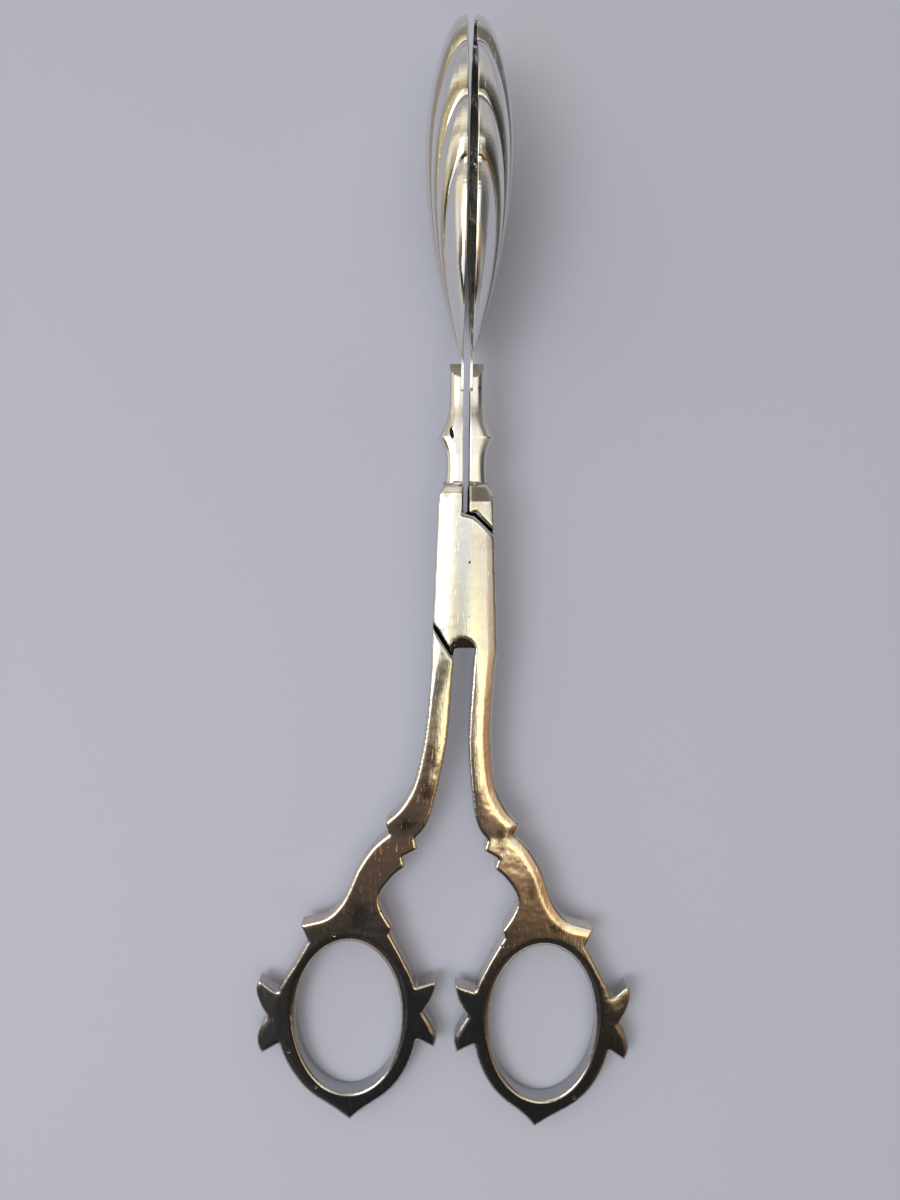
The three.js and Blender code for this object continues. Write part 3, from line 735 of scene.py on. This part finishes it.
def makeNeck(side):
    clearSelection()
    stations = [point for part in ("lower", "upper") for point in curveThrough(neck[part], neck["step"])]
    stations.append(neck["upper"][-1])
    wide, thick, foot = stations[0]
    bpy.ops.mesh.primitive_circle_add(
        vertices=96, radius=wide, fill_type="NGON", location=(0, foot, 0), rotation=(-math.pi / 2, 0, 0))
    body = bpy.context.object
    body.name = side + "Neck"
    bpy.ops.object.transform_apply(location=True, rotation=True, scale=True)
    points = readPoints(body)  # the section is flatter than a circle
    section = points[:, 0::2]
    points[:, 0::2] = wide * np.sign(section) * np.abs(section / wide) ** neck["flatness"]
    writePoints(body, points)
    bpy.ops.object.mode_set(mode="EDIT")
    bpy.ops.mesh.select_all(action="SELECT")
    bpy.ops.transform.resize(value=(1, 1, thick / wide), center_override=(0, foot, 0))
    for (w1, t1, y1), (w2, t2, y2) in zip(stations, stations[1:]):
        bpy.ops.mesh.extrude_region_move(TRANSFORM_OT_translate={"value": (0, y2 - y1, 0)})
        bpy.ops.transform.resize(value=(w2 / w1, 1, t2 / t1), center_override=(0, y2, 0))
    bpy.ops.mesh.select_all(action="SELECT")
    bpy.ops.mesh.normals_make_consistent(inside=False)
    bpy.ops.mesh.bisect(plane_co=(neck["split"], 0, 0), plane_no=(1, 0, 0), use_fill=True, clear_outer=True)
    _, thick, head = stations[-1]
    run, fall = head - neck["bevelFoot"], thick - neck["endHalf"]
    for sign in (1, -1):  # sloped end
        bpy.ops.mesh.select_all(action="SELECT")
        slope = Vector((0, fall, sign * run)).normalized()
        bpy.ops.mesh.bisect(
            plane_co=(0, head, sign * neck["endHalf"]), plane_no=slope, use_fill=True, clear_outer=True)
    bpy.ops.object.mode_set(mode="OBJECT")
    clearSelection()
    bpy.ops.mesh.primitive_cube_add(size=20, location=(neck["seat"] + 10, neck["seatFoot"] + 10, 0))
    combine(body, bpy.context.object, "DIFFERENCE")
    flaw = neck["flaw"]
    if side == "front":  # a casting flaw on the knop
        bpy.ops.mesh.primitive_uv_sphere_add(segments=24, ring_count=16, radius=1, location=flaw["place"])
        hollow = bpy.context.object
        hollow.scale = flaw["reach"]
        hollow.rotation_euler = (0, 0, flaw["turn"])
        combine(body, hollow, "DIFFERENCE")
    breakEdges(body, neck["edge"], 2, 48)
    for finish in ("neck", "lap", "neckEnd"):
        body.data.materials.append(finishes[finish])
    (flawX, flawY, _), (wide, long, _), (deep, shallow) = flaw["place"], flaw["reach"], flaw["dark"]
    for face in body.data.polygons:  # painted shade (the near-black lap finish) inside the flaw and on the sawn faces, dull on the filed end
        x, y, z = face.center
        near = math.hypot((x - flawX) / wide, (y - flawY) / long) < 1.1
        inFlaw = side == "front" and near and deep < z < shallow
        filed = y > neck["filedFrom"] and face.normal.y > 0.3
        face.material_index = 1 if inFlaw or face.normal.x > 0.9 else 2 if filed else 0
    return setDown(body, side, None, "neck_metal", side + "_neck", angle=35)


solder = {
    "radius": 4.17, "bead": 0.46, "height": 20.45, "squash": 0.72, "back": 0.05,
    "lumps": {"front": 0.8, "rear": 0.65}, "lumpHeight": 0.55,
}


def makeSolder(side):  # bead round the neck's foot
    clearSelection()
    bpy.ops.mesh.primitive_torus_add(
        major_radius=solder["radius"], minor_radius=solder["bead"], major_segments=160, minor_segments=16,
        location=(0, solder["height"], 0), rotation=(math.pi / 2, 0, 0))
    body = bpy.context.object
    body.name = side + "Solder"
    bpy.ops.object.transform_apply(location=True, rotation=True, scale=True)
    bpy.ops.object.mode_set(mode="EDIT")
    bpy.ops.mesh.select_all(action="SELECT")
    bpy.ops.transform.resize(value=(1, 1, solder["squash"]), center_override=(0, 0, 0))
    inner = (neck["split"] - solder["back"], 0, 0)
    bpy.ops.mesh.bisect(plane_co=inner, plane_no=(1, 0, 0), use_fill=True, clear_outer=True)
    bpy.ops.object.mode_set(mode="OBJECT")
    roughen(body, solder["lumps"][side], solder["lumpHeight"])
    return setDown(body, side, finishes["solder"], "neck_metal", angle=60)


for side in ("front", "rear"):
    makeNeck(side)
    makeSolder(side)


# bowls: fluted shells of sheet with a tang

bowl = {
    "root": 48.3, "length": 63, "width": 34.6, "depth": 6.9, "skew": 1.25, "fullness": 0.55, "sheet": 0.65,
    "rim": -0.8, "lip": 0.22, "rimFlat": 1.2, "lastRay": 72, "rootRadius": 1.6,
    "flute": 8.4, "flutes": 3.5, "relief": 0.95, "grown": 40, "crease": 0.14, "creaseWidth": 0.04,
    "drawnTo": 12, "tangFoot": (-1.15, 45.4, 2.2), "closing": (3, 0.06),
    "perFlute": 14, "perEdge": 34, "outRows": 80, "lipRows": 5, "inRows": 50, "gather": 0.62,
}
tang = {
    "head": 52.5, "middle": -0.91, "thick": 0.56, "wide": 4.6, "gap": {"front": 0.1, "rear": 0.45},
    "bendFrom": 45, "bend": 0.14, "narrowing": 0.3, "edge": 0.14,
}


def shellPoints(distance, angle):
    y, z = distance * np.cos(angle), distance * np.sin(angle)
    along = np.clip(y / bowl["length"], 1e-9, 1)
    spine = bowl["depth"] * np.maximum(1e-9, np.sin(np.pi * along ** bowl["skew"])) ** bowl["fullness"]
    rim = bowl["width"] * np.sqrt(np.maximum(1e-9, along * (1 - along)))
    across = np.minimum(1, np.abs(z) / rim)
    return np.stack([-spine * np.sqrt(1 - across**2), y, z], 1)


def shellOut(distance, angle, rim):  # away from the shell, turned into the rim's plane at the rim
    step, swing = 0.1, 0.004
    inset = np.minimum(distance, rim - 0.05)
    alongWay = shellPoints(inset, angle) - shellPoints(inset - step, angle)
    acrossWay = shellPoints(inset - step, angle + swing) - shellPoints(inset - step, angle - swing)
    out = np.cross(acrossWay, alongWay)
    out[:, 0] *= 1 - ease(distance, rim - bowl["rimFlat"], rim)
    return out / np.linalg.norm(out, axis=1)[:, None]


def makeBowl(side):
    columns = int(2 * (bowl["flutes"] * bowl["perFlute"] + bowl["perEdge"]))
    rows = bowl["outRows"] + bowl["lipRows"] + bowl["inRows"]
    clearSelection()
    bpy.ops.mesh.primitive_grid_add(x_subdivisions=columns, y_subdivisions=rows, size=2)
    body = bpy.context.object
    body.name = side + "Bowl"
    grid = readPoints(body)
    column = np.round((grid[:, 0] + 1) / 2 * columns) - columns / 2  # 0 on the spine
    row = np.round((grid[:, 1] + 1) / 2 * rows)  # up the outside, over the lip and down the inside
    share = np.clip(row / bowl["outRows"], 0, 1) * np.clip((rows - row) / bowl["inRows"], 0, 1)
    turn = np.clip((row - bowl["outRows"]) / bowl["lipRows"], 0, 1) * np.pi
    fan = bowl["flutes"] * bowl["perFlute"]
    inFan = np.abs(column) <= fan
    fanEdge = bowl["flute"] * bowl["flutes"]
    edgeShare = (np.abs(column) - fan) / bowl["perEdge"]
    place = column / bowl["perFlute"]
    gathered = place + bowl["gather"] / (2 * np.pi) * np.sin(2 * np.pi * place)  # closer by the creases
    beside = np.sign(column) * (fanEdge + (bowl["lastRay"] - fanEdge) * edgeShare)
    degrees = np.where(inFan, gathered * bowl["flute"], beside)
    spot = np.where(inFan, np.mod(np.abs(gathered) + 0.5, 1), edgeShare)
    groove = bowl["crease"] * np.exp(-(np.minimum(spot, 1 - spot) / bowl["creaseWidth"]) ** 2) * inFan
    angle = np.radians(degrees)
    a, b, c, s = bowl["length"] / 2, bowl["width"] / 2, np.cos(angle), np.sin(angle)
    rim = 2 * a * b * b * c / (b * b * c * c + a * a * s * s)
    distance = bowl["rootRadius"] + (rim - bowl["rootRadius"]) * np.sin(share * np.pi / 2)
    swell = bowl["relief"] * (4 * spot * (1 - spot) - groove) * np.minimum(1, distance / bowl["grown"])
    lastColumns, lastShare = bowl["closing"]  # where the skins meet
    closing = np.minimum(1, (columns / 2 - np.abs(column)) / lastColumns) * ease(share, 0, lastShare)
    depth = bowl["sheet"] * (1 - np.cos(turn)) / 2 * closing
    points = shellPoints(distance, angle) + shellOut(distance, angle, rim) * (swell - depth)[:, None]
    points += np.array((bowl["rim"] - bowl["lip"], bowl["root"], 0))
    points[:, 0] += bowl["lip"] * np.sin(turn) * closing
    x, y, half = bowl["tangFoot"]  # the root draws in to the tang
    foot = np.stack([np.full(len(column), x), np.full(len(column), y), half * degrees / bowl["lastRay"]], 1)
    full = ease(distance, bowl["rootRadius"], bowl["drawnTo"])[:, None]
    writePoints(body, foot + (points - foot) * full)
    flute = body.data.attributes.new("flute", "FLOAT", "POINT")  # 0 and 1 at the creases
    acrossFlute = np.where(inFan & (row <= bowl["outRows"]), spot, 0.5)
    flute.data.foreach_set("value", acrossFlute.astype(np.float32))
    closeUp(body)
    pick(body, makeTang(side))
    bpy.ops.object.join()
    return setDown(body, side, finishes[side + "Bowl"], "bowl_sheet", side + "_bowl", angle=32)


def makeTang(side):  # the strip that is soldered into the neck
    clearSelection()
    foot, head = neck["seatFoot"] + tang["gap"][side], tang["head"]
    bpy.ops.mesh.primitive_cube_add(size=1, location=(tang["middle"], (foot + head) / 2, 0))
    strip = bpy.context.object
    strip.scale = (tang["thick"], head - foot, tang["wide"])
    bpy.ops.object.transform_apply(location=True, rotation=True, scale=True)
    bpy.ops.object.mode_set(mode="EDIT")
    bpy.ops.mesh.select_all(action="SELECT")
    bpy.ops.mesh.subdivide(number_cuts=7)
    bpy.ops.object.mode_set(mode="OBJECT")
    points = readPoints(strip)
    out = ease(points[:, 1], tang["bendFrom"], head)  # follows the rim outwards and narrows into it
    points[:, 0] -= tang["bend"] * out
    points[:, 2] *= 1 - tang["narrowing"] * out
    writePoints(strip, points)
    breakEdges(strip, tang["edge"], 3, 50)
    return strip


for side in ("front", "rear"):
    makeBowl(side)


# pivot screw, entered from behind

def makeScrew():
    shoulder = screw["back"] + screw["cone"]
    body = drum("pivotScrew", screw["head"], screw["back"], shoulder, topRadius=screw["shank"])
    pick(body)
    bpy.ops.object.mode_set(mode="EDIT")
    bpy.ops.mesh.select_all(action="DESELECT")
    bpy.ops.object.mode_set(mode="OBJECT")
    for face in body.data.polygons:
        face.select = face.normal.z > 0.9
    bpy.ops.object.mode_set(mode="EDIT")
    bpy.ops.mesh.extrude_region_move(TRANSFORM_OT_translate={"value": (0, 0, screw["tip"] - shoulder)})
    bpy.ops.object.mode_set(mode="OBJECT")
    long, wide = screw["slotReach"], screw["slotWidth"] / 2
    corners = [(-long, -wide), (long, -wide), (long, wide), (-long, wide)]
    combine(body, plate("slot", corners, -lap["deep"], screw["back"] + screw["slotDepth"]), "DIFFERENCE")
    breakEdges(body, screw["edge"], 2, 40)
    return setDown(body, "front", finishes["screw"], "screw_metal", "pivot_screw", angle=35)


makeScrew()


# floor, light and camera

stageLook = {"floor": (0.6, 0.63, 0.78), "size": 3.0, "roughness": 0.85, "specular": 0.1}


def makeFloor():
    clearSelection()
    bpy.ops.mesh.primitive_plane_add(size=stageLook["size"])
    floor = bpy.context.object
    floor.name = "paleFloor"
    material = bpy.data.materials.new("paleFloor")
    material.use_nodes = True
    shader = material.node_tree.nodes["Principled BSDF"]
    shader.inputs["Base Color"].default_value = (*stageLook["floor"], 1)
    shader.inputs["Roughness"].default_value = stageLook["roughness"]
    shader.inputs["Specular IOR Level"].default_value = stageLook["specular"]
    floor.data.materials.append(material)


above = [(-0.12, grey(1.1)), (0, grey(1.45)), (0.05, grey(1.15)), (0.12, grey(1))]
room = {  # what the silver sees, by how far to the right, to the front and up it looks, each from -1 to 1
    "across": [  # overhead, from left to right
        (-1, (0.8, 0.78, 0.75)), (-0.93, (0.6, 0.54, 0.45)), (-0.8, (0.72, 0.64, 0.48)),
        (-0.6, (0.95, 0.87, 0.66)), (-0.48, (1.5, 1.49, 1.45)), (-0.22, (1.4, 1.4, 1.38)),
        (-0.16, (0.93, 0.87, 0.7)), (-0.09, (0.7, 0.735, 0.75)), (0.01, (0.7, 0.735, 0.74)),
        (0.1, (0.85, 0.8, 0.63)), (0.18, (0.86, 0.8, 0.63)), (0.21, (0.7, 0.68, 0.63)),
        (0.25, (1, 0.98, 0.95)), (0.3, (0.72, 0.66, 0.58)), (0.5, (0.6, 0.58, 0.55)),
        (0.75, grey(0.55)), (0.95, grey(0.8)),
    ],
    "front": [  # how that falls off towards the front, in zones from left to right
        (-2, -1.9, [
            (-0.1, grey(1)), (0.14, grey(0.9)), (0.2, (0.55, 0.52, 0.44)), (0.26, (0.28, 0.26, 0.21)),
            (0.36, (0.16, 0.15, 0.13)), (0.48, (0.08, 0.082, 0.085)), (0.55, grey(0.04))]),
        (-0.26, -0.17, [
            *above, (0.2, (0.95, 0.88, 0.7)), (0.245, (0.36, 0.33, 0.24)), (0.3, (0.12, 0.12, 0.1)),
            (0.34, (0.4, 0.29, 0.22)), (0.36, (0.5, 0.36, 0.27)), (0.395, (0.18, 0.11, 0.08)),
            (0.46, (0.13, 0.1, 0.09)), (0.485, (0.06, 0.06, 0.062)), (0.53, (0.035, 0.036, 0.04))]),
        (-0.005, 0.035, [
            *above, (0.22, (1.8, 1.72, 1.38)), (0.31, (2.1, 1.95, 1.5)), (0.395, (2.1, 1.85, 1.32)),
            (0.41, (1.9, 1.6, 1.1)), (0.43, (0.38, 0.23, 0.16)), (0.47, (0.2, 0.13, 0.09)),
            (0.505, (0.07, 0.055, 0.05)), (0.56, (0.03, 0.03, 0.033))]),
        (0.12, 0.16, [
            *above, (0.22, (1.4, 1.32, 1.08)), (0.3, (1.6, 1.45, 1.08)), (0.4, (1.4, 1.2, 0.82)),
            (0.44, (0.8, 0.6, 0.38)), (0.5, (0.8, 0.62, 0.42)), (0.53, (0.1, 0.08, 0.06)),
            (0.57, grey(0.03))]),
        (0.25, 0.3, [
            (-0.1, grey(1.1)), (0.06, grey(0.95)), (0.12, (0.85, 0.76, 0.64)), (0.3, (0.9, 0.64, 0.44)),
            (0.36, (0.62, 0.36, 0.21)), (0.5, (0.45, 0.28, 0.17)), (0.58, (0.08, 0.06, 0.05))]),
        (0.43, 0.52, [
            (-0.1, grey(0.2)), (0.06, grey(0.2)), (0.11, (0.45, 0.4, 0.33)), (0.3, (0.55, 0.36, 0.24)),
            (0.5, (0.3, 0.18, 0.11))]),
        (0.6, 0.72, [
            (-0.1, grey(0.16)), (0.1, grey(0.18)), (0.2, grey(0.3)), (0.4, grey(0.5)), (0.6, grey(0.3))]),
    ],
    "back": [  # beyond the tip, where the bowls look
        (-2, -1.9, [
            (-0.9, grey(0.33)), (-0.78, (0.31, 0.3, 0.29)), (-0.68, (0.46, 0.43, 0.38)),
            (-0.56, (0.82, 0.76, 0.6)), (-0.46, (0.5, 0.44, 0.36)), (-0.36, (0.42, 0.37, 0.3)),
            (-0.25, (0.78, 0.7, 0.53)), (-0.1, (0.68, 0.6, 0.44))]),
        (-0.62, -0.52, [
            (-0.97, grey(0.36)), (-0.82, grey(0.31)), (-0.74, (0.55, 0.51, 0.45)),
            (-0.64, (0.78, 0.72, 0.59)), (-0.52, (0.86, 0.8, 0.61)), (-0.4, (0.66, 0.59, 0.46)),
            (-0.28, (0.5, 0.44, 0.34)), (-0.15, (0.72, 0.65, 0.5))]),
        (-0.08, 0.02, [
            (-0.98, grey(0.37)), (-0.88, (0.41, 0.4, 0.38)), (-0.8, (0.46, 0.44, 0.39)),
            (-0.66, (0.44, 0.41, 0.37)), (-0.55, (0.32, 0.3, 0.27)), (-0.42, (0.25, 0.24, 0.21)),
            (-0.32, (0.14, 0.135, 0.115)), (-0.15, (0.1, 0.1, 0.085))]),
        (0.26, 0.36, [
            (-0.9, grey(0.36)), (-0.7, (0.38, 0.37, 0.36)), (-0.5, (0.4, 0.39, 0.37)),
            (-0.38, (0.34, 0.33, 0.3)), (-0.27, (0.2, 0.19, 0.17)), (-0.15, (0.13, 0.13, 0.11))]),
    ],
    "wall": [
        (-1, (0.58, 0.5, 0.38)), (-0.75, (0.46, 0.43, 0.4)), (-0.4, (0.38, 0.375, 0.385)),
        (0.5, (0.37, 0.37, 0.38)), (0.8, (0.22, 0.215, 0.21)), (1, (0.17, 0.165, 0.16))],
    "farWall": (0.37, 0.37, 0.385),
    "backEnds": (-0.2, -0.12), "farWallEnds": (-0.4, -0.2),  # how far to the front
    "wallTop": (0.1, 0.22), "frontWallTop": (0.28, 0.42),  # how far up
    "frontWallFrom": (0.3, 0.5),
    "middle": 0.4784,  # where straight up lies between left and right
    "strength": 1.3,
}


def makeWorld():
    world = bpy.data.worlds.new("studio")
    scene.world = world
    world.use_nodes = True
    tree = world.node_tree
    background = tree.nodes["Background"]
    coordinate = addNode(tree, "TexCoord")
    way = addNode(tree, "SeparateXYZ")
    tree.links.new(coordinate.outputs["Generated"], way.inputs["Vector"])
    sideways = addMath(tree, "ADD", addMath(tree, "MULTIPLY", way.outputs["X"], 0.5), room["middle"])
    frontwards = addMath(tree, "ADD", addMath(tree, "MULTIPLY", way.outputs["Y"], -0.5), 0.5)

    def bands(source, stops):
        return addRamp(tree, source, [(0.5 + place / 2, colour) for place, colour in stops], "LINEAR")

    def fade(source, start, end):
        return bands(source, [(start, grey(0)), (end, grey(1))])

    def below(start, end):
        return addRamp(tree, way.outputs["Z"], [(start, grey(1)), (end, grey(0))])

    def sideBySide(zones):
        whole = None
        for start, end, stops in zones:
            zone = bands(frontwards, stops)
            whole = addMix(tree, fade(sideways, start, end), whole, zone) if whole else zone
        return whole

    near = addMix(tree, 1.0, bands(sideways, room["across"]), sideBySide(room["front"]), "MULTIPLY")
    overhead = addMix(tree, fade(frontwards, *room["backEnds"]), sideBySide(room["back"]), near)
    inFront = fade(frontwards, *room["frontWallFrom"])
    low = addMix(tree, inFront, below(*room["wallTop"]), below(*room["frontWallTop"]))
    nearWalls = fade(frontwards, *room["farWallEnds"])
    walls = addMix(tree, nearWalls, room["farWall"], bands(sideways, room["wall"]))
    tree.links.new(addMix(tree, low, overhead, walls), background.inputs["Color"])
    background.inputs["Strength"].default_value = room["strength"]


lamps = {
    "window": {"place": (-0.36, -0.08, 0.74), "aim": (0, 0, 0), "size": 0.34, "power": 1.1},
    "card": {"place": (-0.15, -0.105, 0.28), "aim": (0, 0.07, 0.03), "size": 0.16, "power": 0.085},
}
lampColour = (0.9, 0.95, 1)
view = {  # a little to the left of the pivot, looking straight down
    "place": (-0.0086, -0.0037366, 0.188334), "shift": 0.0222, "roll": 0.34,
    "lens": 27, "sensor": 36, "near": 0.01,
}


def makeLamp(name, place, aim, size, power):
    data = bpy.data.lights.new(name, "AREA")
    data.shape = "SQUARE"
    data.size, data.energy, data.color = size, power, lampColour
    lamp = bpy.data.objects.new(name, data)
    scene.collection.objects.link(lamp)
    lamp.location = place
    lamp.rotation_euler = (Vector(aim) - Vector(place)).to_track_quat("-Z", "Y").to_euler()


def makeCamera():
    data = bpy.data.cameras.new("camera")
    data.lens, data.sensor_width, data.shift_x = view["lens"], view["sensor"], view["shift"]
    data.clip_start = view["near"]
    camera = bpy.data.objects.new("camera", data)
    scene.collection.objects.link(camera)
    camera.location = Vector(pivot["pos_m"]) + Vector(view["place"])
    camera.rotation_euler = (0, 0, math.radians(view["roll"]))
    scene.camera = camera


makeFloor()
makeWorld()
for name, values in lamps.items():
    makeLamp(name, **values)
makeCamera()
print("stage set")
